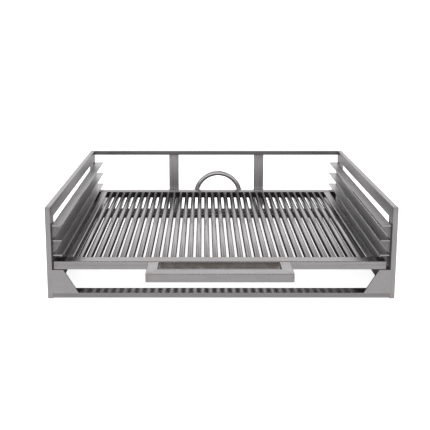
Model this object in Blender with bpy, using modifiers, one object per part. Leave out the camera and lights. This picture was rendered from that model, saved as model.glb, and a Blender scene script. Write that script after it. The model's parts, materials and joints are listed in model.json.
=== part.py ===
"""Open fire frame with a sliding cooking grate, in welded stainless steel.

Two side frames of flat bar carry four pairs of bent ledges, which slope gently down to the
front. A grate of rounded rods lies on the lowest pair and slides out towards the user by a loop
handle. An arch of round bar at its back is the second lifting handle.

X runs across the frame, Y from front to back and Z up. The origin is on the floor, under the
middle of the whole object. All sizes are in metres.
"""

import math

import bmesh
import bpy

OBJECT_NAME = "fire_pit_with_grate"

# Overall size of the welded frame
FRAME_WIDTH = 0.800
FRAME_DEPTH = 0.546
FRAME_HEIGHT = 0.218

# Flat bar that the frame is welded from, and the clearance left at every weld
GAP = 0.0003
BAR_THICKNESS = 0.012
BAR_WIDTH = 0.030
BAR_EDGE = 0.0006
FOOT_DROP = 0.002
FLOOR_RAIL_DEPTH = 0.025
UPRIGHT_OFFSET = 0.135
UPRIGHT_SETBACK = 0.003
LIP_THICKNESS = 0.0027
LIP_TOP = 0.026

# Corner plates beside the front opening
GUSSET_THICKNESS = 0.003
GUSSET_TOP_WIDTH = 0.025
GUSSET_FOOT_WIDTH = 0.059

# Ledges of bent sheet, one pair at each level, all on one slope
LEDGE_LEVELS = ("base", "low", "middle", "high")
BASE_LEDGE_TOP = 0.070
LEDGE_PITCH = 0.035
LEDGE_SLOPE = math.radians(0.5)
LEDGE_LEG = 0.033
LEDGE_SHEET = 0.003
LEDGE_INNER_X = 0.3625
LEDGE_BEND = 0.003
LEDGE_CORNER = 0.005
LEDGE_SETBACK = 0.0035
LEDGE_LENGTH = 0.542

# Grate
GRATE_OFFSET_X = -0.003
GRATE_DEPTH = 0.529
GRATE_HEIGHT = 0.020
GRATE_RAIL_LENGTH = 0.762
GRATE_RAIL_DEPTH = 0.025
GRATE_SIDE_SPAN = 0.721
GRATE_SIDE_WIDTH = 0.020
TUBE_WALL = 0.0015
TUBE_EDGE = 0.002
VENT_RADIUS = 0.0025
VENT_OFFSET = 0.300
ROD_COUNT = 34
ROD_WIDTH = 0.013
ROD_HEIGHT = 0.019
ROD_PITCH = 0.0198
ROD_SIDES = 20

# Handles of the grate
HANDLE_OFFSET_X = -0.0048
HANDLE_WIDTH = 0.326
HANDLE_REACH = 0.0635
HANDLE_TUBE = 0.025
ARCH_OFFSET_X = 0.0055
ARCH_RADIUS = 0.0695
ARCH_BAR_RADIUS = 0.0075
ARCH_FOOT_HEIGHT = 0.002
ARCH_POINTS = 25

# Places worked out from the sizes above
FRONT_Y = HANDLE_REACH - (FRAME_DEPTH + HANDLE_REACH) / 2
REAR_Y = FRONT_Y + FRAME_DEPTH
POST_INNER_X = FRAME_WIDTH / 2 - BAR_THICKNESS
FLOOR_RAIL_TOP = FOOT_DROP + BAR_THICKNESS
ROD_LENGTH = GRATE_DEPTH - 2 * (GRATE_RAIL_DEPTH + GAP)
GRATE_MIDDLE_Z = GAP + GRATE_HEIGHT / 2
SIDES = (("left", -1), ("right", 1))

# Turns that take a flat outline from the XY plane to another upright plane
TO_YZ_PLANE = (math.pi / 2, 0, math.pi / 2)
TO_XZ_PLANE = (math.pi / 2, 0, 0)

BRUSHED = {"colour": (0.40, 0.39, 0.40, 1.0), "roughness": 0.34}
POLISHED = {"colour": (0.55, 0.54, 0.55, 1.0), "roughness": 0.18}
SHEET = {"colour": (0.33, 0.33, 0.33, 1.0), "roughness": 0.30}


def clear_scene():
    for leftover in list(bpy.data.objects):
        bpy.data.objects.remove(leftover, do_unlink=True)


def make_collections():
    for name in (OBJECT_NAME, "cutters"):
        collection = bpy.data.collections.new(name)
        bpy.context.scene.collection.children.link(collection)


def steel(name, finish):
    """A bare steel with the colour and the roughness of one finish."""
    material = bpy.data.materials.new(name + "_steel")
    material.use_nodes = True
    shader = material.node_tree.nodes["Principled BSDF"]
    shader.inputs["Base Color"].default_value = finish["colour"]
    shader.inputs["Roughness"].default_value = finish["roughness"]
    shader.inputs["Metallic"].default_value = 1.0
    return material


def place(piece, location, rotation=(0, 0, 0), parent=None, collection=OBJECT_NAME):
    piece.location = location
    piece.rotation_euler = rotation
    piece.parent = parent
    bpy.data.collections[collection].objects.link(piece)
    return piece


def add_part(name, data, finish, location=(0, 0, 0), rotation=(0, 0, 0), parent=None):
    """Put one named piece into the object's collection. Pieces that share a mesh share its steel."""
    if not data.materials:
        data.materials.append(steel(name, finish))
    return place(bpy.data.objects.new(name, data), location, rotation, parent)


def add_cutter(name, data, location, rotation=(0, 0, 0), parent=None):
    cutter = bpy.data.objects.new(name, data)
    cutter.hide_render = True
    cutter.display_type = "WIRE"
    return place(cutter, location, rotation, parent, "cutters")


def cut(piece, cutter):
    boolean = piece.modifiers.new(cutter.name, "BOOLEAN")
    boolean.operation = "DIFFERENCE"
    boolean.solver = "EXACT"
    boolean.object = cutter


def sloped_datum(name):
    """An empty on the front edge of the base ledges, turned to their slope."""
    datum = bpy.data.objects.new(name, None)
    return place(datum, (0, FRONT_Y, BASE_LEDGE_TOP), (LEDGE_SLOPE, 0, 0))


def finished_mesh(name, shape):
    mesh = bpy.data.meshes.new(name)
    shape.to_mesh(mesh)
    shape.free()
    return mesh


def box_mesh(name, size):
    shape = bmesh.new()
    bmesh.ops.create_cube(shape, size=1)
    bmesh.ops.scale(shape, vec=size, verts=shape.verts)
    return finished_mesh(name, shape)


def cylinder_mesh(name, radius, length, sides):
    """A closed cylinder about its own Z axis, smooth round its side."""
    shape = bmesh.new()
    bmesh.ops.create_cone(
        shape, cap_ends=True, segments=sides, radius1=radius, radius2=radius, depth=length
    )
    mesh = finished_mesh(name, shape)
    mesh.shade_smooth()
    mesh.set_sharp_from_angle(angle=math.radians(40))
    return mesh


def rounded_bar_mesh(name, width, height, length, sides):
    """A closed bar along its own Z axis with half-round edges, smooth round its side."""
    shape = bmesh.new()
    outline = []
    for sign in (1, -1):
        for step in range(sides // 2 + 1):
            turn = 2 * math.pi * step / sides
            x = sign * width / 2 * math.cos(turn)
            y = sign * (width / 2 * math.sin(turn) + (height - width) / 2)
            outline.append((x, y))
    near = [shape.verts.new((x, y, -length / 2)) for x, y in outline]
    far = [shape.verts.new((x, y, length / 2)) for x, y in outline]
    shape.faces.new(reversed(near))
    shape.faces.new(far)
    for number in range(len(outline)):
        after = (number + 1) % len(outline)
        shape.faces.new((near[number], near[after], far[after], far[number]))
    mesh = finished_mesh(name, shape)
    mesh.shade_smooth()
    mesh.set_sharp_from_angle(angle=math.radians(40))
    return mesh


def bar(name, size, centre, finish=BRUSHED, edge=BAR_EDGE, parent=None):
    """A straight bar with its edges rounded to a given radius."""
    piece = add_part(name, box_mesh(name, size), finish, centre, parent=parent)
    bevel = piece.modifiers.new("rounded_edges", "BEVEL")
    bevel.width = edge
    bevel.segments = 2
    return piece


def outline_curve(name, outline, thickness, edge=0.0):
    """A flat outline, filled, given a thickness, and rounded by the edge radius all round."""
    curve = bpy.data.curves.new(name, "CURVE")
    curve.dimensions = "2D"
    curve.fill_mode = "BOTH"
    curve.extrude = thickness / 2 - edge
    curve.bevel_depth = edge
    curve.bevel_resolution = 1
    curve.offset = -edge
    spline = curve.splines.new("POLY")
    spline.points.add(len(outline) - 1)
    for point, (x, y) in zip(spline.points, outline):
        point.co = (x, y, 0, 1)
    spline.use_cyclic_u = True
    return curve


def mesh_of_curve(curve):
    """The closed mesh of a curve, for a piece that is cut or that cuts."""
    stand_in = bpy.data.objects.new(curve.name, curve)
    bpy.context.scene.collection.objects.link(stand_in)
    graph = bpy.context.evaluated_depsgraph_get()
    mesh = bpy.data.meshes.new_from_object(stand_in.evaluated_get(graph))
    bpy.data.objects.remove(stand_in, do_unlink=True)
    shape = bmesh.new()
    shape.from_mesh(mesh)
    bmesh.ops.remove_doubles(shape, verts=shape.verts, dist=0.00001)
    bmesh.ops.recalc_face_normals(shape, faces=shape.faces)
    shape.to_mesh(mesh)
    shape.free()
    return mesh


def add_side_frames():
    """Front post, top rail and rear post of each side, mitred into one upside-down U."""
    front_inner = FRONT_Y + BAR_WIDTH
    rear_inner = REAR_Y - BAR_WIDTH
    under_rail = FRAME_HEIGHT - BAR_WIDTH
    outline = [
        (FRONT_Y, 0),
        (front_inner, 0),
        (front_inner, under_rail),
        (rear_inner, under_rail),
        (rear_inner, 0),
        (REAR_Y, 0),
        (REAR_Y, FRAME_HEIGHT),
        (FRONT_Y, FRAME_HEIGHT),
    ]
    for side, sign in SIDES:
        name = "side_frame_" + side
        curve = outline_curve(name, outline, BAR_THICKNESS, BAR_EDGE)
        x = sign * (FRAME_WIDTH - BAR_THICKNESS) / 2
        add_part(name, curve, BRUSHED, (x, 0, 0), TO_YZ_PLANE)


def add_floor_rails():
    """Rails along the floor: flat ones at front and rear, and ones on edge at the sides."""
    side_length = FRAME_DEPTH - 2 * (BAR_WIDTH + GAP)
    side_size = (BAR_THICKNESS, side_length, BAR_WIDTH)
    middle_y = (FRONT_Y + REAR_Y) / 2
    for side, sign in SIDES:
        x = sign * (FRAME_WIDTH - BAR_THICKNESS) / 2
        bar("bottom_rail_" + side, side_size, (x, middle_y, FOOT_DROP + BAR_WIDTH / 2))
    cross_size = (2 * (POST_INNER_X - GAP), FLOOR_RAIL_DEPTH, BAR_THICKNESS)
    z = FOOT_DROP + BAR_THICKNESS / 2
    bar("front_floor_rail", cross_size, (0, FRONT_Y + FLOOR_RAIL_DEPTH / 2, z))
    bar("rear_floor_rail", cross_size, (0, REAR_Y - FLOOR_RAIL_DEPTH / 2, z))


def add_rear_panel():
    """The thin top rail, its two uprights, and the lip that stands on the rear floor rail."""
    length = 2 * (POST_INNER_X - GAP)
    rail_size = (length, BAR_THICKNESS, BAR_THICKNESS)
    rail_y = REAR_Y - BAR_THICKNESS / 2
    bar("rear_top_rail", rail_size, (0, rail_y, FRAME_HEIGHT - BAR_THICKNESS / 2))
    bottom = FLOOR_RAIL_TOP + GAP
    top = FRAME_HEIGHT - BAR_THICKNESS - GAP
    upright_size = (BAR_WIDTH, BAR_THICKNESS, top - bottom)
    upright_y = rail_y - UPRIGHT_SETBACK
    for side, sign in SIDES:
        centre = (sign * UPRIGHT_OFFSET, upright_y, (bottom + top) / 2)
        bar("rear_upright_" + side, upright_size, centre)
    lip_size = (length, LIP_THICKNESS, LIP_TOP - bottom)
    lip_centre = (0, REAR_Y - LIP_THICKNESS / 2, (LIP_TOP + bottom) / 2)
    bar("rear_lip", lip_size, lip_centre, SHEET)


def add_gussets():
    """Plates in the lower front corners. Each narrows upwards to the width of a ledge."""
    bottom = FLOOR_RAIL_TOP + GAP
    top = BASE_LEDGE_TOP - GAP
    outer_x = POST_INNER_X - GAP
    for side, sign in SIDES:
        outline = [
            (sign * outer_x, bottom),
            (sign * outer_x, top),
            (sign * (POST_INNER_X - GUSSET_TOP_WIDTH), top),
            (sign * (POST_INNER_X - GUSSET_FOOT_WIDTH), bottom),
        ]
        name = "gusset_" + side
        curve = outline_curve(name, outline, GUSSET_THICKNESS)
        add_part(name, curve, BRUSHED, (0, FRONT_Y + GUSSET_THICKNESS / 2, 0), TO_XZ_PLANE)


def bent_ledge(name, sign, top, parent):
    """A strip of sheet bent to a flange and a leg that hangs from the flange's outer edge."""
    outer_x = POST_INNER_X - GAP
    shape = bmesh.new()
    leg_foot = shape.verts.new((sign * outer_x, LEDGE_SETBACK, top - LEDGE_LEG))
    bend = shape.verts.new((sign * outer_x, LEDGE_SETBACK, top))
    flange_tip = shape.verts.new((sign * LEDGE_INNER_X, LEDGE_SETBACK, top))
    section = [shape.edges.new((leg_foot, bend)), shape.edges.new((bend, flange_tip))]
    swept = bmesh.ops.extrude_edge_only(shape, edges=section)["geom"]
    far_end = [item for item in swept if isinstance(item, bmesh.types.BMVert)]
    bmesh.ops.translate(shape, vec=(0, LEDGE_LENGTH, 0), verts=far_end)
    bmesh.ops.recalc_face_normals(shape, faces=shape.faces)
    if max(shape.faces, key=lambda face: abs(face.normal.z)).normal.z < 0:
        bmesh.ops.reverse_faces(shape, faces=shape.faces)
    bend_line = [edge for edge in bend.link_edges if len(edge.link_faces) == 2]
    bmesh.ops.bevel(shape, geom=[flange_tip], offset=LEDGE_CORNER, segments=4, profile=0.5)
    bmesh.ops.bevel(
        shape, geom=bend_line, offset=LEDGE_BEND, segments=3, profile=0.5, affect="EDGES"
    )
    piece = add_part(name, finished_mesh(name, shape), SHEET, parent=parent)
    solidify = piece.modifiers.new("sheet", "SOLIDIFY")
    solidify.thickness = LEDGE_SHEET
    solidify.offset = -1
    solidify.use_even_offset = True


def add_ledges():
    datum = sloped_datum("ledge_datum")
    for step, level in enumerate(LEDGE_LEVELS):
        for side, sign in SIDES:
            bent_ledge("ledge_" + level + "_" + side, sign, step * LEDGE_PITCH, datum)


def vented_tube(name, size, centre, datum):
    """A tube with welded ends, hollow inside, with two small vents in its underside."""
    piece = bar(name, size, centre, edge=TUBE_EDGE, parent=datum)
    hollow = box_mesh(name + "_hollow", [side - 2 * TUBE_WALL for side in size])
    cut(piece, add_cutter(name + "_hollow", hollow, centre, parent=datum))
    vent = cylinder_mesh(name + "_vent", VENT_RADIUS, 4 * TUBE_WALL, 12)
    for side, sign in SIDES:
        spot = (centre[0] + sign * VENT_OFFSET, centre[1], centre[2] - size[2] / 2)
        cut(piece, add_cutter(name + "_vent_" + side, vent, spot, parent=datum))


def add_grate_frame(datum):
    """The rectangle of tubes round the rods. The front and rear tubes run on over the ledges."""
    rail_size = (GRATE_RAIL_LENGTH, GRATE_RAIL_DEPTH, GRATE_HEIGHT)
    for end, y in (("front", GRATE_RAIL_DEPTH / 2), ("rear", GRATE_DEPTH - GRATE_RAIL_DEPTH / 2)):
        vented_tube("grate_rail_" + end, rail_size, (GRATE_OFFSET_X, y, GRATE_MIDDLE_Z), datum)
    side_size = (GRATE_SIDE_WIDTH, ROD_LENGTH, GRATE_HEIGHT)
    bore_size = (GRATE_SIDE_WIDTH - 2 * TUBE_WALL, 1.1 * ROD_LENGTH, GRATE_HEIGHT - 2 * TUBE_WALL)
    bore = box_mesh("grate_side_bore", bore_size)
    for side, sign in SIDES:
        name = "grate_side_" + side
        x = GRATE_OFFSET_X + sign * (GRATE_SIDE_SPAN - GRATE_SIDE_WIDTH) / 2
        centre = (x, GRATE_DEPTH / 2, GRATE_MIDDLE_Z)
        piece = bar(name, side_size, centre, edge=TUBE_EDGE / 2, parent=datum)
        cut(piece, add_cutter(name + "_bore", bore, centre, parent=datum))


def add_rods(datum):
    """Solid rods with rounded edges from front rail to rear rail, level with the rails' tops."""
    rod = rounded_bar_mesh("grate_rod", ROD_WIDTH, ROD_HEIGHT, ROD_LENGTH, ROD_SIDES)
    first_x = GRATE_OFFSET_X - (ROD_COUNT - 1) * ROD_PITCH / 2
    z = GAP + GRATE_HEIGHT - ROD_HEIGHT / 2
    for number in range(ROD_COUNT):
        location = (first_x + number * ROD_PITCH, GRATE_DEPTH / 2, z)
        name = f"grate_rod_{number + 1:02d}"
        add_part(name, rod, POLISHED, location, (math.pi / 2, 0, 0), datum)


def loop_outline(inset, arm_end):
    """The handle's plan, its walls drawn in by an inset, with its arms ending at arm_end."""
    outer_x = HANDLE_WIDTH / 2 - inset
    inner_x = HANDLE_WIDTH / 2 - HANDLE_TUBE + inset
    front = inset - HANDLE_REACH
    back_of_bar = HANDLE_TUBE - HANDLE_REACH - inset
    return [
        (-outer_x, front),
        (outer_x, front),
        (outer_x, arm_end),
        (inner_x, arm_end),
        (inner_x, back_of_bar),
        (-inner_x, back_of_bar),
        (-inner_x, arm_end),
        (-outer_x, arm_end),
    ]


def add_loop_handle(datum):
    """The loop in front, a bar and two arms of tube, open inside up to the grate's front rail."""
    outside = outline_curve("loop_handle", loop_outline(0, -GAP), GRATE_HEIGHT, TUBE_EDGE / 2)
    hollow_height = GRATE_HEIGHT - 2 * TUBE_WALL
    hollow = outline_curve("loop_hollow", loop_outline(TUBE_WALL, TUBE_WALL), hollow_height)
    centre = (HANDLE_OFFSET_X, 0, GRATE_MIDDLE_Z)
    piece = add_part("loop_handle", mesh_of_curve(outside), BRUSHED, centre, parent=datum)
    cut(piece, add_cutter("loop_hollow", mesh_of_curve(hollow), centre, parent=datum))


def add_arch_handle(datum):
    """A half circle of round bar against the back of the grate's rear rail."""
    curve = bpy.data.curves.new("arch_handle", "CURVE")
    curve.dimensions = "3D"
    curve.bevel_depth = ARCH_BAR_RADIUS
    curve.bevel_resolution = 3
    curve.use_fill_caps = True
    spline = curve.splines.new("POLY")
    spline.points.add(ARCH_POINTS - 1)
    for step, point in enumerate(spline.points):
        angle = math.pi * step / (ARCH_POINTS - 1)
        point.co = (ARCH_RADIUS * math.cos(angle), 0, ARCH_RADIUS * math.sin(angle), 1)
    y = GRATE_DEPTH + GAP + ARCH_BAR_RADIUS
    location = (ARCH_OFFSET_X, y, GAP + ARCH_FOOT_HEIGHT)
    add_part("arch_handle", curve, POLISHED, location, parent=datum)


def build():
    clear_scene()
    make_collections()
    add_side_frames()
    add_floor_rails()
    add_rear_panel()
    add_gussets()
    add_ledges()
    grate_datum = sloped_datum("grate_slide_datum")
    add_grate_frame(grate_datum)
    add_rods(grate_datum)
    add_loop_handle(grate_datum)
    add_arch_handle(grate_datum)


build()
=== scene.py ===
"""Looks for the open fire frame with its sliding grate, in brushed and ground stainless steel.

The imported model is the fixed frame. Every visible piece is rebuilt inside the box of its CAD node,
with rounded edges, and two UV maps that its steel follows: "grain" measures metres along and across
the brushing, and "ends" measures metres to the two ends of each member, where it is welded.
"""

import json
import math

import bmesh
import bpy
from mathutils import Matrix, Vector, noise

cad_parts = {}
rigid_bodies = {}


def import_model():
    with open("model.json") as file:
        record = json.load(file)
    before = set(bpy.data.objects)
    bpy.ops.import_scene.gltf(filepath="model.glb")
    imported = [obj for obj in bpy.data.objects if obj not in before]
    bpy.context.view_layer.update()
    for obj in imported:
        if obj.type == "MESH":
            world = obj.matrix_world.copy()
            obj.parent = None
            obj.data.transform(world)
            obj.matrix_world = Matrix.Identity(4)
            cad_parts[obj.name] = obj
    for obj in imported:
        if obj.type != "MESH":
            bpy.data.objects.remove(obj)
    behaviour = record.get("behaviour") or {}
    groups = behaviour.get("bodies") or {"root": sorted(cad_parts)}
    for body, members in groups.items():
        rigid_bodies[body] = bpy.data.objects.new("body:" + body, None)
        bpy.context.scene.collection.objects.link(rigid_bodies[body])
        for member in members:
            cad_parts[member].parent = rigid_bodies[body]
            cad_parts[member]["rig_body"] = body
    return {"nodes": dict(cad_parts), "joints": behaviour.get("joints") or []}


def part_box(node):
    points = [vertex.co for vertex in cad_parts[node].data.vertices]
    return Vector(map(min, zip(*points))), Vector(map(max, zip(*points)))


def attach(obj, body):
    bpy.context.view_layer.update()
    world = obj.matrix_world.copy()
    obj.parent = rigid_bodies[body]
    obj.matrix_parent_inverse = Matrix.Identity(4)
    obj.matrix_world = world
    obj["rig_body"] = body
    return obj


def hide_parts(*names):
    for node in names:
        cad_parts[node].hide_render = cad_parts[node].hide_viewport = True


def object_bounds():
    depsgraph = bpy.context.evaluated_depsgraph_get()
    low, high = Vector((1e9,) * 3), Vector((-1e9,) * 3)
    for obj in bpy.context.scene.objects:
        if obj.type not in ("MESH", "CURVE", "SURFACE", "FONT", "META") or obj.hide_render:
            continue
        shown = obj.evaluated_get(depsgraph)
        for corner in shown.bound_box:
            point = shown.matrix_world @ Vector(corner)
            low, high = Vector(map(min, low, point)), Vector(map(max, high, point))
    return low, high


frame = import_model()
cad_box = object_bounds()

# Sizes that the boxes of the nodes don't give, in metres, the same as in the CAD model
BAR_WIDTH = 0.030
FLOOR_RAIL_WIDTH = 0.025
HANDLE_TUBE = 0.025
GUSSET_TOP_WIDTH = 0.025
LEDGES = ("base", "low", "middle", "high")
LEDGE_SHEET = 0.003
LEDGE_BEND = 0.003
LEDGE_CORNER = 0.005
LEDGE_LEG = 0.033
BASE_LEDGE_TOP = 0.070
VENT_RADIUS = 0.0025
VENT_OFFSET = 0.300
VENT_DRILL_LENGTH = 0.012

# Finer shape than the CAD model has
WELD_REACH = 0.0003
GROUND_OVERLAP = 0.0013
GROUND_PROUD = 0.0001
BAR_EDGE = 0.0009
SHEET_EDGE = 0.0007
TUBE_EDGE = 0.0022
BEND_STEPS = 8
SHARP_ANGLE = math.radians(30)
RIM_ANGLE = math.radians(50)
FLAT_FACE_WEIGHT = 80
ROD_SIDES = 40
ROD_EDGE = 0.0004
ARCH_STEPS = 72

# Weld beads: their radii, and where they start and end along what they join, in metres
BEAD_RADIUS = 0.0017
FOOT_BEAD_RADIUS = 0.0014
LIP_BEAD_RADIUS = 0.0012
ROD_BEAD_RADIUS = 0.0011
BEAD_STEP = 0.0009
BEAD_SIDES = 8
BEAD_MARGIN = 0.001
LEDGE_WELD = (0.006, 0.026)
LIP_STITCHES = (-0.34, -0.17, 0.0, 0.17, 0.34)
LIP_STITCH_REACH = 0.012
CORNER_WELD_REACH = 0.002
TUBE_INSET = 0.002
SIDE_TUBE_TOP_INSET = 0.003
LOOP_TOP_INSET = 0.005
ARCH_WELD_HEIGHT = 0.014
ARCH_WELD_DEPTH = 0.0012
ARCH_WELD_SPREAD = 0.62

# Camera, in the frame of the CAD model. The pitch stands in for part of a view camera's large shift
CAMERA_PLACE = (-0.0409, -1.4868, 0.6518)
CAMERA_PITCH = 8
CAMERA_LENS = 48.02
CAMERA_SHIFT = (0.0268, -0.2813)
CAMERA_CLIP = (0.05, 60)

# Area lights: name, place, size, power, and whether polished steel mirrors them
SOFTBOXES = (
    ("top_light", (0.0, 0.4, 3.2), (3.4, 3.0), 22, False),
    ("front_light", (-0.3, -3.4, 2.4), (2.6, 1.6), 12, True),
    ("back_light", (0.3, 3.6, 2.6), (4.5, 1.4), 8, True),
)
LIGHTS_AIM = (0, 0, 0.1)

# The room's light by direction. Each ramp runs from one share of an axis to another, and where it
# has four numbers the last two are its strengths there
ROOM_COLOUR = (1.0, 0.99, 0.985, 1.0)
ROOM_FRONT = (-0.10, 0.50, 0.98, 0.60)
ROOM_BACK = (0.0, 0.17, 0.02, 1.12)
ROOM_BELOW = (-0.25, -0.10, 0.85, 0.0)
ROOM_ZENITH = (0.62, 0.92, 1.0, 0.40)
ROOM_TURN = (-0.25, 0.15)
ROOM_SIDES = (0.60, 0.95)
ROOM_SIDE_LEVEL = 0.55

# The pale floor, and the dark card under it
FLOOR_FRONT = -9.0
FLOOR_BACK = 5.0
FLOOR_CURVE = 2.5
FLOOR_CURVE_STEPS = 24
FLOOR_HALF_WIDTH = 14.0
BACKDROP_HEIGHT = 7.0
FLOOR_GLOW = 0.85
CARD_REACH = 0.12
CARD_DEPTH = 0.001

# The steels: linear colour, roughness, contrast of the streaks and depth of the fine lines. Spun is
# how far highlights spread across the grain, and waves is how much a hand-ground face undulates.
# Orbital steel is sanded all over, in no one direction
BRUSHED = {"colour": (0.360, 0.350, 0.356), "roughness": 0.30, "streak": 0.26, "bump": 0.16}
POST = {"colour": (0.355, 0.345, 0.352), "roughness": 0.34, "streak": 0.12, "bump": 0.18}
GROUND = {"colour": (0.380, 0.371, 0.377), "roughness": 0.38, "streak": 0.08, "bump": 0.26}
TUBE = {"colour": (0.330, 0.320, 0.326), "roughness": 0.26, "streak": 0.24, "bump": 0.14}
SHEET = {"colour": (0.420, 0.414, 0.422), "roughness": 0.30, "streak": 0.22, "bump": 0.10}
DRAWN = {"colour": (0.330, 0.321, 0.328), "roughness": 0.15, "streak": 0.20, "bump": 0.08}
POLISHED = {"colour": (0.255, 0.248, 0.253), "roughness": 0.17, "streak": 0.10, "bump": 0.02}
# Arch: the rods' drawn steel with its colour nearly doubled, painted light
ARCH = {"colour": (0.640, 0.625, 0.632), "roughness": 0.20, "streak": 0.24, "bump": 0.08}
# Uprights: brushed steel with its colour nearly doubled, painted light
UPRIGHT = {"colour": (0.640, 0.624, 0.632), "roughness": 0.32, "streak": 0.26, "bump": 0.16}
# Rear top rail: the same brushed steel darkened, painted shade
SHADED_BRUSHED = {"colour": (0.215, 0.209, 0.213), "roughness": 0.32, "streak": 0.26, "bump": 0.16}
# The next steel is painted shade: near black, for the cross tubes' faces towards the rods, which lie in
# shade
PAINTED_SHADE_STEEL = {"colour": (0.050, 0.046, 0.046), "roughness": 0.45, "streak": 0.30, "bump": 0.20}
GROUND.update(orbital=True, spun=0.0)
TUBE.update(waves=0.7)
SHEET.update(waves=0.4)
DRAWN.update(spun=0.0)
ARCH.update(spun=0.0)
SPUN = 0.5

# Other linear colours
CUT_EDGE = (0.36, 0.35, 0.36)
# The next colour is painted shade: the dark brown of the front tube's face between the handle's arms,
# where it lies in shade
PAINTED_SHADE_BROWN = (0.120, 0.104, 0.094)
STRAW = (0.36, 0.27, 0.16)
VIOLET = (0.21, 0.18, 0.24)
WELD_DARK = (0.30, 0.29, 0.29)
WELD_LIGHT = (0.52, 0.50, 0.49)

# What else the looks of the steel share. How far the sander and the heat reach from a weld, how
# ragged their limits are, the limits of the painted shade and the depths of marks and waves are in
# metres
# The next number darkens the weld up the inside of each front post: painted shadow of the gap between
# post and ledges
SHADOW_WELD_BRIGHTNESS = 0.22
HEAT_TINT = 0.35
SANDED_REACH = (0.004, 0.022)
HEATED_REACH = (0.000, 0.014)
RAGGEDNESS = 0.030
SHADE_OUTSIDE = 0.002
SHADE_INSIDE = 0.006
SHADE_DEPTH = (0.001, 0.002)
MARK_DEPTH = 0.0003
WAVE_DEPTH = 0.0006
EDGE_ROUGHNESS = 0.26
SHEET_EDGE_ROUGHNESS = 0.22

# Shifts of the pattern, in metres, between pieces and between a piece's faces and members
PIECE_SHIFT = 0.0713
FACE_SHIFT = 0.21
MEMBER_SHIFT = 0.43

SIDES = (("left", -1), ("right", 1))


# ---------------------------------------------------------------------------- materials


class Tree:
    """A short way to write the nodes of a material or a world."""

    def __init__(self, owner, shader="Principled BSDF"):
        owner.use_nodes = True
        self.owner = owner
        self.nodes = owner.node_tree.nodes
        self.links = owner.node_tree.links
        self.shader = self.nodes[shader]

    def add(self, kind, inputs=(), **settings):
        made = self.nodes.new(kind)
        for key, value in settings.items():
            setattr(made, key, value)
        for key, value in dict(inputs).items():
            self.set(made.inputs[key], value)
        return made

    def set(self, socket, value):
        if isinstance(value, bpy.types.NodeSocket):
            self.links.new(value, socket)
        else:
            socket.default_value = value

    def uv(self, name):
        return self.add("ShaderNodeUVMap", uv_map=name).outputs["UV"]

    def place(self):
        return self.add("ShaderNodeTexCoord").outputs["Object"]

    def scaled(self, vector, scale, shift=(0, 0, 0)):
        inputs = {"Vector": vector, "Scale": scale, "Location": shift}
        return self.add("ShaderNodeMapping", inputs).outputs["Vector"]

    def noise(self, vector, detail=2.0, roughness=0.5, distortion=0.0):
        inputs = {"Vector": vector, "Scale": 1.0, "Detail": detail}
        inputs.update({"Roughness": roughness, "Distortion": distortion})
        return self.add("ShaderNodeTexNoise", inputs).outputs["Fac"]

    def cloud(self, place, scale, *settings):
        """Noise that has the same scale in every direction."""
        return self.noise(self.scaled(place, (scale, scale, scale)), *settings)

    def math(self, operation, a, b=0.0, c=0.0, clamp=False):
        inputs = {0: a, 1: b, 2: c}
        made = self.add("ShaderNodeMath", inputs, operation=operation, use_clamp=clamp)
        return made.outputs[0]

    def ramp(self, value, low, high, to_low=0.0, to_high=1.0):
        inputs = {"Value": value, "From Min": low, "From Max": high}
        inputs.update({"To Min": to_low, "To Max": to_high})
        made = self.add("ShaderNodeMapRange", inputs, interpolation_type="SMOOTHSTEP")
        return made.outputs["Result"]

    def lerp(self, factor, a, b):
        return self.add("ShaderNodeMix", {0: factor, 2: a, 3: b}, data_type="FLOAT").outputs[0]

    def mix(self, factor, a, b):
        made = self.add("ShaderNodeMix", data_type="RGBA")
        self.set(made.inputs["Factor"], factor)
        for socket, value in ((made.inputs["A"], a), (made.inputs["B"], b)):
            self.set(socket, value)
        return made.outputs["Result"]


def ground_and_heated(tree, place, finish):
    """How much of each point is ground or heated, from its distance to the nearer end of its member."""
    if finish.get("orbital"):
        return 1.0, 0.0
    ends = tree.add("ShaderNodeSeparateXYZ", {"Vector": tree.uv("ends")}).outputs
    nearer = tree.math("MINIMUM", ends["X"], ends["Y"])
    drift = tree.cloud(place, 70, 3.0)
    centred = tree.math("SUBTRACT", nearer, RAGGEDNESS / 2)
    ragged = tree.math("MULTIPLY_ADD", drift, RAGGEDNESS, centred)
    ground = tree.ramp(ragged, *SANDED_REACH, 1.0, 0.0)
    heated = tree.math("MULTIPLY", tree.ramp(ragged, *HEATED_REACH, 1.0, 0.0), HEAT_TINT)
    return ground, heated


def painted_shade_patch(tree, place, left, right, face):
    """How much painted shade, dark brown and drifting, lies on a face between two places along X."""
    axes = tree.add("ShaderNodeSeparateXYZ", {"Vector": place}).outputs
    from_left = tree.ramp(axes["X"], left - SHADE_OUTSIDE, left + SHADE_INSIDE)
    to_right = tree.ramp(axes["X"], right - SHADE_INSIDE, right + SHADE_OUTSIDE, 1.0, 0.0)
    near_face = tree.ramp(axes["Y"], *(face + depth for depth in SHADE_DEPTH), 1.0, 0.0)
    inside = tree.math("MULTIPLY", tree.math("MULTIPLY", from_left, to_right), near_face)
    shade_drift = tree.cloud(place, 55, 2.0)
    return tree.math("MULTIPLY", inside, tree.ramp(shade_drift, 0.25, 0.65, 0.70, 0.97))


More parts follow.
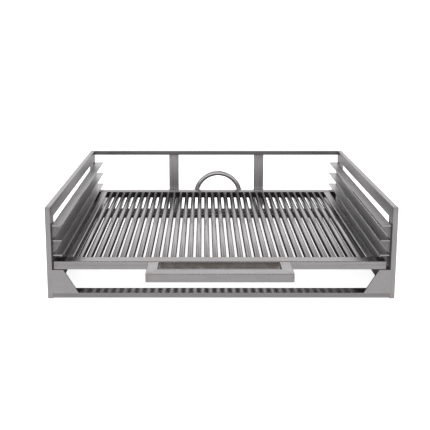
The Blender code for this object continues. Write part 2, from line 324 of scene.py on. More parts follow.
def steel(name, finish):
    """Brushed steel: streaks and fine lines along the grain, mottled by the sander near welds."""
    tree = Tree(bpy.data.materials.new(name))
    grain, place = tree.uv("grain"), tree.place()
    fine = tree.noise(tree.scaled(grain, (9, 1300, 1)), 3.0, 0.6)
    streak = tree.noise(tree.scaled(grain, (2.5, 190, 1), (3.1, 7.7, 0)), 2.0)
    cloud = tree.cloud(place, 13, 3.0, 0.55)
    mottle = tree.cloud(place, 330, 3.0, 0.65, 0.8)
    ground, heated = ground_and_heated(tree, place, finish)
    marks = tree.lerp(ground, fine, mottle)
    tone = tree.math("MULTIPLY_ADD", streak, finish["streak"] * 2, 1.0 - finish["streak"])
    tone = tree.math("MULTIPLY", tone, tree.math("MULTIPLY_ADD", cloud, 0.32, 0.84))
    tone = tree.math("MULTIPLY", tone, tree.math("MULTIPLY_ADD", marks, 0.36, 0.82))
    base = tree.add("ShaderNodeVectorMath", {0: finish["colour"], "Scale": tone}, operation="SCALE")
    heat_tint_and_painted_shade = tree.mix(tree.ramp(mottle, 0.35, 0.65), (*STRAW, 1), (*VIOLET, 1))
    colour = tree.mix(heated, base.outputs["Vector"], heat_tint_and_painted_shade)
    # A patch of painted shade, dark brown, where the face lies in shade inside the handle
    if finish.get("shade_span"):
        colour = tree.mix(painted_shade_patch(tree, place, *finish["shade_span"]), colour, (*PAINTED_SHADE_BROWN, 1))
    tree.set(tree.shader.inputs["Base Color"], colour)
    rough = tree.math("MULTIPLY_ADD", streak, 0.22, finish["roughness"] - 0.16)
    rough = tree.math("MULTIPLY_ADD", marks, 0.12, rough)
    rough = tree.math("MULTIPLY_ADD", ground, 0.07, rough, clamp=True)
    tree.set(tree.shader.inputs["Roughness"], rough)
    bump = {"Strength": finish["bump"], "Distance": MARK_DEPTH, "Height": marks}
    lined = tree.add("ShaderNodeBump", bump).outputs["Normal"]
    if finish.get("waves"):
        swell = tree.cloud(place, 30, 1.0)
        bump = {"Strength": finish["waves"], "Distance": WAVE_DEPTH, "Height": swell, "Normal": lined}
        lined = tree.add("ShaderNodeBump", bump).outputs["Normal"]
    tree.set(tree.shader.inputs["Normal"], lined)
    tree.set(tree.shader.inputs["Metallic"], 1.0)
    tree.set(tree.shader.inputs["Anisotropic"], finish.get("spun", SPUN))
    tree.set(tree.shader.inputs["Anisotropic Rotation"], 0.25)
    tangent = tree.add("ShaderNodeTangent", direction_type="UV_MAP", uv_map="grain")
    tree.set(tree.shader.inputs["Tangent"], tangent.outputs["Tangent"])
    return tree.owner


def worn_edge(name, roughness):
    """The rubbed steel of rounded edges and cut rims, with fine nicks along it."""
    tree = Tree(bpy.data.materials.new(name))
    place = tree.place()
    nicks = tree.cloud(place, 240, 3.0, 0.6)
    drift = tree.cloud(place, 22, 2.0)
    tone = tree.math("MULTIPLY_ADD", nicks, 0.30, 0.85)
    tone = tree.math("MULTIPLY", tone, tree.math("MULTIPLY_ADD", drift, 0.40, 0.80))
    base = tree.add("ShaderNodeVectorMath", {0: CUT_EDGE, "Scale": tone}, operation="SCALE")
    tree.set(tree.shader.inputs["Base Color"], base.outputs["Vector"])
    rough = tree.math("MULTIPLY_ADD", nicks, 0.16, roughness - 0.08, clamp=True)
    tree.set(tree.shader.inputs["Roughness"], rough)
    bump = {"Strength": 0.08, "Distance": MARK_DEPTH, "Height": nicks}
    tree.set(tree.shader.inputs["Normal"], tree.add("ShaderNodeBump", bump).outputs["Normal"])
    tree.set(tree.shader.inputs["Metallic"], 1.0)
    return tree.owner


def weld_metal(name, brightness):
    """The ripples of a weld bead, silver on top and straw to violet at its foot."""
    tree = Tree(bpy.data.materials.new(name))
    place = tree.place()
    ripple = tree.noise(tree.scaled(tree.uv("grain"), (900, 120, 1)), 2.0)
    drift = tree.cloud(place, 150, 3.0)
    heat = tree.mix(tree.ramp(drift, 0.40, 0.62), (*STRAW, 1), (*VIOLET, 1))
    silver = tree.mix(tree.ramp(ripple, 0.3, 0.7), (*WELD_DARK, 1), (*WELD_LIGHT, 1))
    share = tree.ramp(drift, 0.45, 0.75, 0.10, 0.75)
    colour = {0: tree.mix(share, silver, heat), "Scale": brightness}
    base = tree.add("ShaderNodeVectorMath", colour, operation="SCALE").outputs["Vector"]
    tree.set(tree.shader.inputs["Base Color"], base)
    rough = tree.math("MULTIPLY_ADD", ripple, 0.30, 0.16)
    tree.set(tree.shader.inputs["Roughness"], rough)
    bump = {"Strength": 0.35, "Distance": MARK_DEPTH, "Height": ripple}
    tree.set(tree.shader.inputs["Normal"], tree.add("ShaderNodeBump", bump).outputs["Normal"])
    tree.set(tree.shader.inputs["Metallic"], 1.0)
    return tree.owner


def floor_paint():
    """Pale paint that drifts a little in tone and glows, so that no shadow darkens it much."""
    tree = Tree(bpy.data.materials.new("pale_floor"))
    drift = tree.cloud(tree.place(), 0.9, 3.0)
    shade = tree.mix(drift, (0.90, 0.90, 0.90, 1), (0.94, 0.94, 0.94, 1))
    tree.set(tree.shader.inputs["Base Color"], shade)
    tree.set(tree.shader.inputs["Roughness"], 0.9)
    tree.set(tree.shader.inputs["Specular IOR Level"], 0.1)
    tree.set(tree.shader.inputs["Emission Color"], (1, 1, 1, 1))
    tree.set(tree.shader.inputs["Emission Strength"], FLOOR_GLOW)
    return tree.owner


# ---------------------------------------------------------------------------- places

front_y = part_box("side_frame_left")[0].y
rear_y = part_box("side_frame_left")[1].y
slide = Vector(frame["joints"][0]["axis"])
level = Matrix.Identity(4)
sloped = Matrix.Translation((0, front_y, BASE_LEDGE_TOP)) @ Matrix.Rotation(math.asin(-slide.z), 4, "X")


def box_in(node, space):
    """The lowest and the highest corner of a node, measured in a space that may be sloped."""
    back = space.inverted()
    places = [back @ vertex.co for vertex in frame["nodes"][node].data.vertices]
    low = Vector([min(place[axis] for place in places) for axis in range(3)])
    high = Vector([max(place[axis] for place in places) for axis in range(3)])
    return low, high


# ---------------------------------------------------------------------------- shapes


def as_mesh(shape, name, materials, space=None):
    """Turns a shape into a mesh with its materials, moved from its own space to the scene's."""
    mesh = bpy.data.meshes.new(name)
    shape.to_mesh(mesh)
    shape.free()
    if space:
        mesh.transform(space)
    mesh.shade_smooth()
    for material in materials:
        mesh.materials.append(material)
    return mesh


def show(name, data):
    thing = bpy.data.objects.new(name, data)
    bpy.context.scene.collection.objects.link(thing)
    return thing


def stand_in(piece, node):
    """Makes a piece take the place of a CAD node, on the same body."""
    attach(piece, frame["nodes"][node]["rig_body"])
    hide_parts(node)
    return piece


def prism(cells, low, high):
    """A closed solid over flat cells that share their corners, from one height to another."""
    shape = bmesh.new()
    member = shape.faces.layers.int.new("member")
    points = sorted({point for cell in cells for point in cell})
    floor = {point: shape.verts.new((*point, low)) for point in points}
    roof = {point: shape.verts.new((*point, high)) for point in points}
    rims = [list(zip(cell, cell[1:] + cell[:1])) for cell in cells]
    walls = {edge for rim in rims for edge in rim}
    for number, (cell, rim) in enumerate(zip(cells, rims)):
        faces = [[roof[point] for point in cell], [floor[point] for point in reversed(cell)]]
        outer = [(a, b) for a, b in rim if (b, a) not in walls]
        faces += [[floor[a], floor[b], roof[b], roof[a]] for a, b in outer]
        for corners in faces:
            shape.faces.new(corners)[member] = number
    return shape


def round_edges(shape, radius, segments=3):
    """Rounds each sharp edge. The new faces take the second material, the rubbed edge."""
    bmesh.ops.recalc_face_normals(shape, faces=shape.faces)
    sharp = [edge for edge in shape.edges if edge.calc_face_angle(0) > SHARP_ANGLE]
    settings = {"segments": segments, "profile": 0.5, "affect": "EDGES", "material": 1}
    bmesh.ops.bevel(shape, geom=sharp, offset=radius, clamp_overlap=True, **settings)


def lay_grain(shape, cells, along, shift):
    """Writes both UV maps. Each member has its own direction of grain in the plane of its cell."""
    member = shape.faces.layers.int["member"]
    grain = shape.loops.layers.uv.new("grain")
    ends = shape.loops.layers.uv.new("ends")
    for face in shape.faces:
        number = face[member]
        line = Vector((*along[number], 0))
        axes = (line, Vector((-line.y, line.x, 0)), Vector((0, 0, 1)))
        reach = [Vector((*point, 0)).dot(line) for point in cells[number]]
        facing = max(range(3), key=lambda axis: abs(face.normal.dot(axes[axis])))
        for loop in face.loops:
            u, v, w = (loop.vert.co.dot(axis) for axis in axes)
            flat = ((v, w), (u, w + FACE_SHIFT), (u, v))[facing]
            loop[grain].uv = (flat[0] + shift, flat[1] + shift + MEMBER_SHIFT * number)
            loop[ends].uv = (u - min(reach), max(reach) - u)


def swept(path, radii, side, sides, shape=None, shift=0.0):
    """A round bar along a path whose bends lie in one plane, with side at right angles to it."""
    shape = shape or bmesh.new()
    grain = shape.loops.layers.uv.get("grain") or shape.loops.layers.uv.new("grain")
    ends = shape.loops.layers.uv.get("ends") or shape.loops.layers.uv.new("ends")
    steps = [(b - a).length for a, b in zip(path, path[1:])]
    travel = [sum(steps[:count]) for count in range(len(path))]
    rings = []
    for number, (place, radius) in enumerate(zip(path, radii)):
        before, after = path[max(number - 1, 0)], path[min(number + 1, len(path) - 1)]
        out = (after - before).normalized().cross(side)
        turns = [2 * math.pi * count / sides for count in range(sides)]
        ring = [place + radius * (math.cos(turn) * side + math.sin(turn) * out) for turn in turns]
        rings.append([shape.verts.new(point) for point in ring])
    girth = 2 * math.pi * max(radii)
    for number, (ring, following) in enumerate(zip(rings, rings[1:])):
        for count in range(sides):
            after = (count + 1) % sides
            face = shape.faces.new((ring[count], ring[after], following[after], following[count]))
            around = (count, count + 1, count + 1, count)
            lengths = (travel[number], travel[number], travel[number + 1], travel[number + 1])
            for loop, part, length in zip(face.loops, around, lengths):
                loop[grain].uv = (length + shift, girth * part / sides + shift)
                loop[ends].uv = (length, travel[-1] - length)
    for ring in (rings[0], rings[-1]):
        for loop in shape.faces.new(ring).loops:
            loop[grain].uv = (loop.vert.co.x + shift, loop.vert.co.z + shift)
    return shape


def add_piece(node, shape, space, materials):
    """Makes the visible piece of a CAD node from a shape."""
    bmesh.ops.recalc_face_normals(shape, faces=shape.faces)
    name = node + "_finished"
    return stand_in(show(name, as_mesh(shape, name, materials, space)), node)


def weigh_normals(piece):
    weighted = piece.modifiers.new("flat_faces_stay_flat", "WEIGHTED_NORMAL")
    weighted.mode = "FACE_AREA"
    weighted.weight = FLAT_FACE_WEIGHT
    return piece


def shift_for(name):
    """A place in the pattern that belongs to one piece, so that no two look alike."""
    return PIECE_SHIFT * sum(map(ord, name)) % 7.0


TURNS = {
    "XYZ": Matrix(((1, 0, 0), (0, 1, 0), (0, 0, 1))).to_4x4(),
    "YZX": Matrix(((0, 0, 1), (1, 0, 0), (0, 1, 0))).to_4x4(),
    "XZY": Matrix(((1, 0, 0), (0, 0, 1), (0, 1, 0))).to_4x4(),
    "ZXY": Matrix(((0, 1, 0), (0, 0, 1), (1, 0, 0))).to_4x4(),
}


def add_plate(node, cells, along, thickness, turn, space, edge, materials, segments=3):
    """A piece cut from flat bar, sheet or tube: cells in a plane, a thickness, rounded edges."""
    shape = prism(cells, *thickness)
    round_edges(shape, edge, segments)
    lay_grain(shape, cells, along, shift_for(node))
    shape.transform(TURNS[turn])
    return weigh_normals(add_piece(node, shape, space, materials))


def add_bar(node, axis, space, edge, materials, segments=3):
    """A straight bar in its node's box, long enough to meet what it is welded to."""
    low, high = box_in(node, space)
    turn = {"X": "XYZ", "Y": "YZX", "Z": "ZXY"}[axis]
    order = ["XYZ".index(letter) for letter in turn]
    reach = Vector((WELD_REACH if axis == letter else 0 for letter in "XYZ"))
    start, end = ([corner[axis] for axis in order] for corner in (low - reach, high + reach))
    cell = [(start[0], start[1]), (end[0], start[1]), (end[0], end[1]), (start[0], end[1])]
    thickness = (start[2], end[2])
    return add_plate(node, [cell], [(1, 0)], thickness, turn, space, edge, materials, segments)


# ---------------------------------------------------------------------------- the welded frame


def add_side_frames(materials):
    """Front post, top rail and rear post, mitred and ground flush, each with its own grain."""
    for side, _ in SIDES:
        low, high = box_in("side_frame_" + side, level)
        foot, top, under = low.z, high.z, high.z - BAR_WIDTH
        front, inner_front, inner_rear, rear = low.y, low.y + BAR_WIDTH, high.y - BAR_WIDTH, high.y
        cells = [
            [(front, foot), (inner_front, foot), (inner_front, under), (front, top)],
            [(front, top), (inner_front, under), (inner_rear, under), (rear, top)],
            [(rear, top), (inner_rear, under), (inner_rear, foot), (rear, foot)],
        ]
        along = [(0, 1), (1, 0), (0, 1)]
        thickness = (low.x, high.x)
        add_plate("side_frame_" + side, cells, along, thickness, "YZX", level, BAR_EDGE, materials)


def add_gussets(materials):
    """The corner plates, ground flush with the post and the rail, which they overlap a little."""
    for side, sign in SIDES:
        low, high = box_in("gusset_" + side, level)
        inner, outer = sorted((low.x, high.x), key=abs)
        shoulder = outer - sign * GUSSET_TOP_WIDTH
        outer += sign * GROUND_OVERLAP
        foot = low.z - GROUND_OVERLAP
        cell = [(outer, foot), (outer, high.z), (shoulder, high.z), (inner, low.z), (inner, foot)]
        cells = [cell[::sign]]  # Wound the same way round on both sides
        thickness = (low.y - GROUND_PROUD, high.y)
        node = "gusset_" + side
        add_plate(node, cells, [(0, 1)], thickness, "XZY", level, GROUND_PROUD, materials)


def add_ledge(node, sign, materials):
    """Flange and leg of one bent sheet, with a rounded front corner and rubbed cut rims."""
    low, high = box_in(node, sloped)
    inner, outer = sorted((low.x, high.x), key=abs)
    shape = bmesh.new()
    leg_foot = shape.verts.new((outer, low.y, low.z))
    bend = shape.verts.new((outer, low.y, high.z))
    tip = shape.verts.new((inner, low.y, high.z))
    section = [shape.edges.new((leg_foot, bend)), shape.edges.new((bend, tip))]
    strip = bmesh.ops.extrude_edge_only(shape, edges=section)["geom"]
    far_end = [item for item in strip if isinstance(item, bmesh.types.BMVert)]
    bmesh.ops.translate(shape, vec=(0, high.y - low.y, 0), verts=far_end)
    bmesh.ops.recalc_face_normals(shape, faces=shape.faces)
    if max(shape.faces, key=lambda face: abs(face.normal.z)).normal.z < 0:
        bmesh.ops.reverse_faces(shape, faces=shape.faces)
    bend_line = [edge for edge in bend.link_edges if len(edge.link_faces) == 2]
    curve = {"segments": BEND_STEPS, "profile": 0.5}
    bmesh.ops.bevel(shape, geom=[tip], offset=LEDGE_CORNER, **curve)
    bmesh.ops.bevel(shape, geom=bend_line, offset=LEDGE_BEND, affect="EDGES", **curve)
    grain = shape.loops.layers.uv.new("grain")
    ends = shape.loops.layers.uv.new("ends")
    shift = shift_for(node)
    for face in shape.faces:
        for loop in face.loops:
            place = loop.vert.co
            loop[grain].uv = (place.y + shift, sign * place.x - place.z + shift)
            loop[ends].uv = (place.y - low.y, high.y - place.y)
    name = node + "_finished"
    piece = show(name, as_mesh(shape, name, materials, sloped))
    sheet = piece.modifiers.new("sheet", "SOLIDIFY")
    sheet.thickness = LEDGE_SHEET
    sheet.offset = -1
    sheet.use_even_offset = True
    sheet.material_offset_rim = 1
    rounded = piece.modifiers.new("cut_edges", "BEVEL")
    rounded.width = SHEET_EDGE
    rounded.segments = 2
    rounded.angle_limit = RIM_ANGLE
    rounded.material = 1
    weigh_normals(piece)
    stand_in(piece, node)


def add_frame():
    """Every piece of the welded frame, each in the steel that it shows."""
    edge = worn_edge("rubbed_edge", EDGE_ROUGHNESS)
    post = [steel("post_steel", POST), edge]
    brushed = [steel("brushed_steel", BRUSHED), edge]
    # The uprights' lighter steel is painted light
    upright = [steel("upright_steel", UPRIGHT), edge]
    sheet = [steel("sheet_steel", SHEET), worn_edge("cut_sheet_edge", SHEET_EDGE_ROUGHNESS)]
    add_side_frames(post)
    for side, _ in SIDES:
        add_bar("bottom_rail_" + side, "Y", level, BAR_EDGE, brushed)
        add_bar("rear_upright_" + side, "Z", level, BAR_EDGE, upright)
    # The rear top rail's darker steel is painted shade
    add_bar("rear_top_rail", "X", level, BAR_EDGE, [steel("rear_rail_steel", SHADED_BRUSHED), edge])
    for name in ("front_floor_rail", "rear_floor_rail"):
        add_bar(name, "X", level, BAR_EDGE, [steel(name + "_steel", POLISHED), edge])
    add_bar("rear_lip", "X", level, SHEET_EDGE, sheet, 2)
    ground = steel("ground_steel", GROUND)
    add_gussets([ground, ground])
    for place in LEDGES:
        for side, sign in SIDES:
            add_ledge("ledge_" + place + "_" + side, sign, sheet)


# ---------------------------------------------------------------------------- the grate


def add_vents(piece, node):
    """Drills the two vents in the underside of a closed tube."""
    low, high = box_in(node, sloped)
    middle = (low + high) / 2
    for _, sign in SIDES:
        drill = bmesh.new()
        settings = {"cap_ends": True, "segments": 24, "radius1": VENT_RADIUS, "radius2": VENT_RADIUS}
        bmesh.ops.create_cone(drill, depth=VENT_DRILL_LENGTH, **settings)
        place = Matrix.Translation((middle.x + sign * VENT_OFFSET, middle.y, low.z))
        cutter = show("drill", as_mesh(drill, "drill", [], sloped @ place))
        cutter.data.shade_flat()
        boolean = piece.modifiers.new("vent", "BOOLEAN")
        boolean.operation = "DIFFERENCE"
        boolean.solver = "EXACT"
        boolean.object = cutter
        with bpy.context.temp_override(object=piece, active_object=piece):
            bpy.ops.object.modifier_move_to_index(modifier="vent", index=0)
            bpy.ops.object.modifier_apply(modifier="vent")
        bpy.data.objects.remove(cutter, do_unlink=True)


def add_loop_handle(materials):
    """Bar and two arms of tube, mitred and ground flush, open up to the grate's front rail."""
    low, high = box_in("loop_handle", sloped)
    left, right, front, arm_end = low.x, high.x, low.y, high.y + WELD_REACH
    inner_left, inner_right, back = left + HANDLE_TUBE, right - HANDLE_TUBE, front + HANDLE_TUBE
    cells = [
        [(left, front), (inner_left, back), (inner_left, arm_end), (left, arm_end)],
        [(left, front), (right, front), (inner_right, back), (inner_left, back)],
        [(right, front), (right, arm_end), (inner_right, arm_end), (inner_right, back)],
    ]
    along = [(0, 1), (1, 0), (0, 1)]
    thickness = (low.z, high.z)
    add_plate("loop_handle", cells, along, thickness, "XYZ", sloped, TUBE_EDGE, materials, 4)


def paint_shade_facing_rods(piece, sign, material):
    """Gives the faces of a cross tube that face the rods a near-black material: painted shade, where
    the rods and the tube shade them.
    """
    piece.data.materials.append(material)
    shade_slot = len(piece.data.materials) - 1
    for face in piece.data.polygons:
        if face.normal.y * sign > 0.9:
            face.material_index = shade_slot


def add_rod(node, material):
    """A bar with half-round edges: a round one whose lower half is drawn down."""
    low, high = box_in(node, sloped)
    radius = (high.x - low.x) / 2
    middle = (low + high) / 2
    stations = [low.y - WELD_REACH, low.y + ROD_EDGE, high.y - ROD_EDGE, high.y + WELD_REACH]
    radii = [radius - ROD_EDGE, radius, radius, radius - ROD_EDGE]
    path = [Vector((middle.x, y, high.z - radius)) for y in stations]
    shape = swept(path, radii, Vector((1, 0, 0)), ROD_SIDES, shift=shift_for(node))
    lower = [corner for corner in shape.verts if corner.co.z < path[0].z - ROD_EDGE]
    bmesh.ops.translate(shape, vec=(0, 0, low.z + radius - path[0].z), verts=lower)
    add_piece(node, shape, sloped, [material])


def add_arch_handle(material):
    """Round bar bent to a half circle, set into the back of the rear rail by the welds' reach."""
    low, high = box_in("arch_handle", sloped)
    bar_radius = (high.y - low.y) / 2
    radius = (high.x - low.x) / 2 - bar_radius
    foot = (low + high) / 2
    foot.y -= WELD_REACH
    foot.z = high.z - bar_radius - radius
    turns = [math.pi * step / ARCH_STEPS for step in range(ARCH_STEPS + 1)]
    path = [foot + radius * Vector((math.cos(turn), 0, math.sin(turn))) for turn in turns]
    radii = [bar_radius] * len(path)
    shape = swept(path, radii, Vector((0, 1, 0)), ROD_SIDES, shift=shift_for("arch_handle"))
    add_piece("arch_handle", shape, sloped, [material])


def add_grate():
    """Every piece of the grate, each in the steel that it shows."""
    edge = worn_edge("rubbed_tube_edge", EDGE_ROUGHNESS)
    tube = [steel("tube_steel", TUBE), edge]
    drawn = steel("drawn_steel", DRAWN)
    # Near-black steel that paints shade on the cross tubes' faces towards the rods
    heat_tint_and_painted_shade = steel("painted_shade_skin", PAINTED_SHADE_STEEL)
    loop = box_in("loop_handle", sloped)
    # The front tube's face between the handle's arms gets painted shade, dark brown
    shaded_span = (loop[0].x + HANDLE_TUBE, loop[1].x - HANDLE_TUBE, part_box("grate_rail_front")[0].y)
    front_tube = [steel("front_tube_steel", {**TUBE, "shade_span": shaded_span}), edge]
    for end, sign, materials in (("front", 1, front_tube), ("rear", -1, tube)):
        node = "grate_rail_" + end
        piece = add_bar(node, "X", sloped, TUBE_EDGE, materials, 4)
        add_vents(piece, node)
        paint_shade_facing_rods(piece, sign, heat_tint_and_painted_shade)
    for side, _ in SIDES:
        add_bar("grate_side_" + side, "Y", sloped, TUBE_EDGE, tube, 4)
    add_loop_handle(tube)
    # The arch's lighter steel is painted light
    add_arch_handle(steel("arch_steel", ARCH))
    for node in sorted(frame["nodes"]):
        if node.startswith("grate_rod_"):
            add_rod(node, drawn)


# ---------------------------------------------------------------------------- welds


class Beads:
    """The weld beads of one body, laid one after another into a single mesh."""

    def __init__(self, name, body, space, radius=BEAD_RADIUS):
        self.name, self.body, self.space, self.radius = name, body, space, radius
        self.shape = bmesh.new()
        self.count = 0

    def lay(self, path, side):
        """A rippled bead that swells and sinks a little and thins out at both ends."""
        lengths = [(b - a).length for a, b in zip(path, path[1:])]
        total = sum(lengths)
        steps = max(int(total / BEAD_STEP), 6)
        places, radii = [], []
        for step in range(steps + 1):
            share = step / steps
            travel = share * total
            part = 0
            while part < len(lengths) - 1 and travel > lengths[part]:
                travel -= lengths[part]
                part += 1
            place = path[part].lerp(path[part + 1], min(travel / lengths[part], 1))
            wobble = noise.noise(Vector((share * total * 400, self.count * 3.7, 0.5)))
            taper = min(1, math.sqrt(8 * min(share, 1 - share) + 0.06))
            ripple = 1 + 0.10 * math.sin(step * 2.1)
            places.append(place)
            radii.append(self.radius * taper * ripple * (1 + 0.22 * wobble))
        swept(places, radii, side, BEAD_SIDES, self.shape, 0.31 * self.count)
        self.count += 1

    def straight(self, start, end):
        path = [Vector(start), Vector(end)]
        run = path[1] - path[0]
        self.lay(path, run.orthogonal().normalized())

    def make(self, material):
        bmesh.ops.recalc_face_normals(self.shape, faces=self.shape.faces)
        piece = show(self.name, as_mesh(self.shape, self.name, [material], self.space))
        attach(piece, self.body)


def weld_ledges(side, x, material):
    """A short bead at each end of each ledge's leg, up the edges of the posts."""
    beads = Beads("ledge_welds_" + side, "frame", level)
    for place in LEDGES:
        low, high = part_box("ledge_" + place + "_" + side)
        for y, lift in ((front_y + BAR_WIDTH, 0), (rear_y - BAR_WIDTH, high.z - low.z - LEDGE_LEG)):
            start, end = (low.z + lift + height for height in LEDGE_WELD)
            beads.straight((x, y, start), (x, y, end))
    beads.make(material)


def weld_corner(side, sign, x, material):
    """One long bead up the inside of the front post, from the base ledge to the high one, darkened as
    painted shadow of the gap between post and ledges.
    """
    beads = Beads("corner_welds_" + side, "frame", level)
    corner = (x - sign * LEDGE_SHEET / 2, front_y + BEAD_RADIUS + WELD_REACH)
    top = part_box("ledge_high_" + side)[1].z
    foot = BASE_LEDGE_TOP - CORNER_WELD_REACH
    beads.straight((*corner, foot), (*corner, top + CORNER_WELD_REACH))
    beads.make(material)


def weld_posts(side, sign, x, material):
    """Beads under the floor rails' ends, over the side rail's ends, and up their inner faces."""
    beads = Beads("post_welds_" + side, "frame", level, FOOT_BEAD_RADIUS)
    low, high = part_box("front_floor_rail")
    rear_start = rear_y - FLOOR_RAIL_WIDTH
    for front, rear in ((low.y, high.y), (rear_start, rear_y)):
        beads.straight((x, front + BEAD_MARGIN, low.z), (x, rear - BEAD_MARGIN, low.z))
    for y in (high.y, rear_start):
        beads.straight((x, y, low.z), (x, y, high.z))
    low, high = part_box("bottom_rail_right")
    for y in (front_y + BAR_WIDTH, rear_y - BAR_WIDTH):
        inner, outer = sign * (low.x + BEAD_MARGIN), sign * (high.x - BEAD_MARGIN)
        beads.straight((inner, y, high.z), (outer, y, high.z))
        beads.straight((x, y, low.z + BEAD_MARGIN), (x, y, high.z - BEAD_MARGIN))
    beads.make(material)


def weld_gusset(side, sign, material):
    """Beads on the back of the corner plate, up the post and along the floor rail."""
    beads = Beads("gusset_welds_" + side, "frame", level)
    low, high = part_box("gusset_right")
    corner = (sign * high.x, high.y, low.z)
    beads.straight(corner, (sign * high.x, high.y, high.z))
    beads.straight(corner, (sign * (low.x + 2 * BEAD_MARGIN), high.y, low.z))
    beads.make(material)


def weld_upright(side, material):
    """Beads across the back of a rear upright at both ends, and across the front of its foot."""
    beads = Beads("upright_welds_" + side, "frame", level)
    low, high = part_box("rear_upright_" + side)
    for z in (low.z, high.z):
        beads.straight((low.x, high.y, z), (high.x, high.y, z))
    beads.straight((low.x, low.y, low.z), (high.x, low.y, low.z))
    beads.make(material)


def add_frame_welds(material, shadow_weld):
    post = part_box("side_frame_right")[0].x
    for side, sign in SIDES:
        x = sign * post
        weld_ledges(side, x, material)
        weld_corner(side, sign, x, shadow_weld)
        weld_posts(side, sign, x, material)
        weld_gusset(side, sign, material)
        weld_upright(side, material)
    beads = Beads("lip_welds", "frame", level, LIP_BEAD_RADIUS)
    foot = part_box("rear_lip")[0]
    for middle in LIP_STITCHES:
        start, end = middle - LIP_STITCH_REACH, middle + LIP_STITCH_REACH
        beads.straight((start, foot.y, foot.z), (end, foot.y, foot.z))
    beads.make(material)


def weld_rods(end, rods, material):
    """A bead round the lower half of each rod's end, and up both its sides."""
    beads = Beads("rod_welds_" + end, "grate", sloped, ROD_BEAD_RADIUS)
    turns = [math.radians(180 + 10 * step) for step in range(19)]
    for low, high in rods:
        radius = (high.x - low.x) / 2
        y = low.y if end == "front" else high.y
        middle = Vector(((low.x + high.x) / 2, y, low.z + radius))
        path = [middle + radius * Vector((math.cos(turn), 0, math.sin(turn))) for turn in turns]
        shoulder = high.z - radius
        path = [Vector((low.x, y, shoulder)), *path, Vector((high.x, y, shoulder))]
        beads.lay(path, Vector((0, 1, 0)))
    beads.make(material)


def weld_loop_handle(material):
    """Beads under and inside both arms, where they meet the grate's front rail."""
    low, high = box_in("loop_handle", sloped)
    beads = Beads("loop_welds", "grate", sloped)
    for outer, sign in ((low.x, 1), (high.x, -1)):
        inner = outer + sign * HANDLE_TUBE
        start, end = outer + sign * TUBE_INSET, inner - sign * TUBE_INSET
        beads.straight((start, high.y, low.z), (end, high.y, low.z))
        beads.straight((inner, high.y, low.z + TUBE_INSET), (inner, high.y, high.z - LOOP_TOP_INSET))
    beads.make(material)


def weld_arch_handle(material):
    """A bead up each side of both feet of the arch."""
    low, high = box_in("arch_handle", sloped)
    bar_radius = (high.y - low.y) / 2
    beads = Beads("arch_welds", "grate", sloped)
    y = low.y + ARCH_WELD_DEPTH
    for middle in (low.x + bar_radius, high.x - bar_radius):
        for sign in (-1, 1):
            x = middle + sign * ARCH_WELD_SPREAD * bar_radius
            beads.straight((x, y, low.z), (x, y, low.z + ARCH_WELD_HEIGHT))
    beads.make(material)


def weld_side_tubes(material):
    """Beads up the outer corners and along the undersides of the side tubes' ends."""
    beads = Beads("side_tube_welds", "grate", sloped)
    for side, sign in SIDES:
        low, high = box_in("grate_side_" + side, sloped)
        outer = high.x if sign > 0 else low.x
        for y in (low.y, high.y):
            beads.straight((outer, y, low.z + TUBE_INSET), (outer, y, high.z - SIDE_TUBE_TOP_INSET))
            beads.straight((low.x + TUBE_INSET, y, low.z), (high.x - TUBE_INSET, y, low.z))
    beads.make(material)


def add_grate_welds(material):
    names = sorted(node for node in frame["nodes"] if node.startswith("grate_rod_"))
    rods = [box_in(node, sloped) for node in names]
    for end in ("front", "rear"):
        weld_rods(end, rods, material)
    weld_loop_handle(material)
    weld_arch_handle(material)
    weld_side_tubes(material)


# ---------------------------------------------------------------------------- studio


def add_floor():
    """A pale floor that curves up into a backdrop far behind the object. Steel doesn't mirror it."""
    shape = bmesh.new()
    turns = [math.pi / 2 * step / FLOOR_CURVE_STEPS for step in range(FLOOR_CURVE_STEPS + 1)]
    profile = [(FLOOR_FRONT, 0.0)]
    for turn in turns:
        profile.append((FLOOR_BACK + FLOOR_CURVE * math.sin(turn), FLOOR_CURVE * (1 - math.cos(turn))))
    profile.append((FLOOR_BACK + FLOOR_CURVE, BACKDROP_HEIGHT))
    sides = (-FLOOR_HALF_WIDTH, FLOOR_HALF_WIDTH)
    rows = [[shape.verts.new((x, y, z)) for x in sides] for y, z in profile]
    for (a, b), (c, d) in zip(rows, rows[1:]):
        shape.faces.new((a, b, d, c))
    floor = show("studio_floor", as_mesh(shape, "studio_floor", [floor_paint()]))
    floor.visible_glossy = False
    floor.visible_shadow = False


def add_shadow_card():
    """A dark card just under the floor, below the frame and behind it, that only reflections see."""
    low, high = cad_box
    shape = bmesh.new()
    back_y = rear_y + CARD_REACH
    rim = [(low.x, front_y), (high.x, front_y), (high.x, back_y), (low.x, back_y)]
    shape.faces.new([shape.verts.new((x, y, -CARD_DEPTH)) for x, y in rim])
    tree = Tree(bpy.data.materials.new("dark_card"))
    tree.set(tree.shader.inputs["Base Color"], (0.05, 0.05, 0.05, 1))
    tree.set(tree.shader.inputs["Roughness"], 0.9)
    card = show("shadow_card", as_mesh(shape, "shadow_card", [tree.owner]))
    card.visible_camera = card.visible_diffuse = card.visible_shadow = False


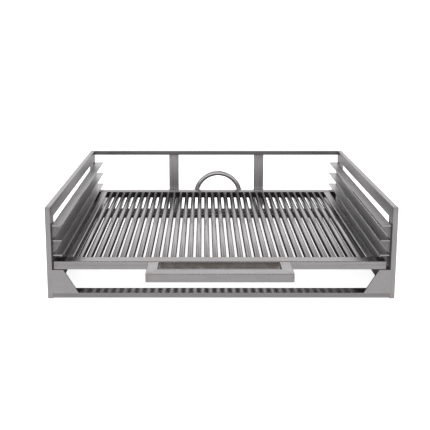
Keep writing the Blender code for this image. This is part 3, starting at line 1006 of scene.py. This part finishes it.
def add_softbox(name, place, size, watts, mirrored):
    data = bpy.data.lights.new(name, "AREA")
    data.shape = "RECTANGLE"
    data.size, data.size_y = size
    data.energy = watts
    light = show(name, data)
    light.location = place
    aim = Vector(LIGHTS_AIM) - Vector(place)
    light.rotation_euler = aim.to_track_quat("-Z", "Y").to_euler()
    light.visible_glossy = mirrored


def add_world():
    """A soft room of light, dark along the horizon behind the object and dimmer straight above."""
    world = bpy.data.worlds.new("soft_studio_light")
    tree = Tree(world, "Background")
    towards = tree.add("ShaderNodeTexCoord").outputs["Generated"]
    axes = tree.add("ShaderNodeSeparateXYZ", {"Vector": towards}).outputs
    behind = tree.ramp(axes["Y"], *ROOM_TURN)
    aside = tree.ramp(tree.math("ABSOLUTE", axes["X"]), *ROOM_SIDES)
    front = tree.ramp(axes["Z"], *ROOM_FRONT)
    back = tree.math("ADD", tree.ramp(axes["Z"], *ROOM_BACK), tree.ramp(axes["Z"], *ROOM_BELOW))
    walls = tree.lerp(aside, tree.lerp(behind, front, back), ROOM_SIDE_LEVEL)
    strength = tree.math("MULTIPLY", walls, tree.ramp(axes["Z"], *ROOM_ZENITH))
    tree.set(tree.shader.inputs["Color"], ROOM_COLOUR)
    tree.set(tree.shader.inputs["Strength"], strength)
    bpy.context.scene.world = world


def add_studio():
    add_floor()
    add_shadow_card()
    add_world()
    for softbox in SOFTBOXES:
        add_softbox(*softbox)
    bpy.context.scene.view_settings.view_transform = "Standard"


def add_camera():
    data = bpy.data.cameras.new("camera")
    data.lens = CAMERA_LENS
    data.shift_x, data.shift_y = CAMERA_SHIFT
    data.clip_start, data.clip_end = CAMERA_CLIP
    camera = show("camera", data)
    camera.location = CAMERA_PLACE
    camera.rotation_euler = (math.radians(90 - CAMERA_PITCH), 0, 0)
    bpy.context.scene.camera = camera


add_frame()
add_grate()
welds = weld_metal("weld_metal", 1.0)
# The second weld metal is darkened: painted shadow along the front posts' inner edges
add_frame_welds(welds, weld_metal("weld_with_painted_shadow", SHADOW_WELD_BRIGHTNESS))
add_grate_welds(welds)
add_studio()
add_camera()
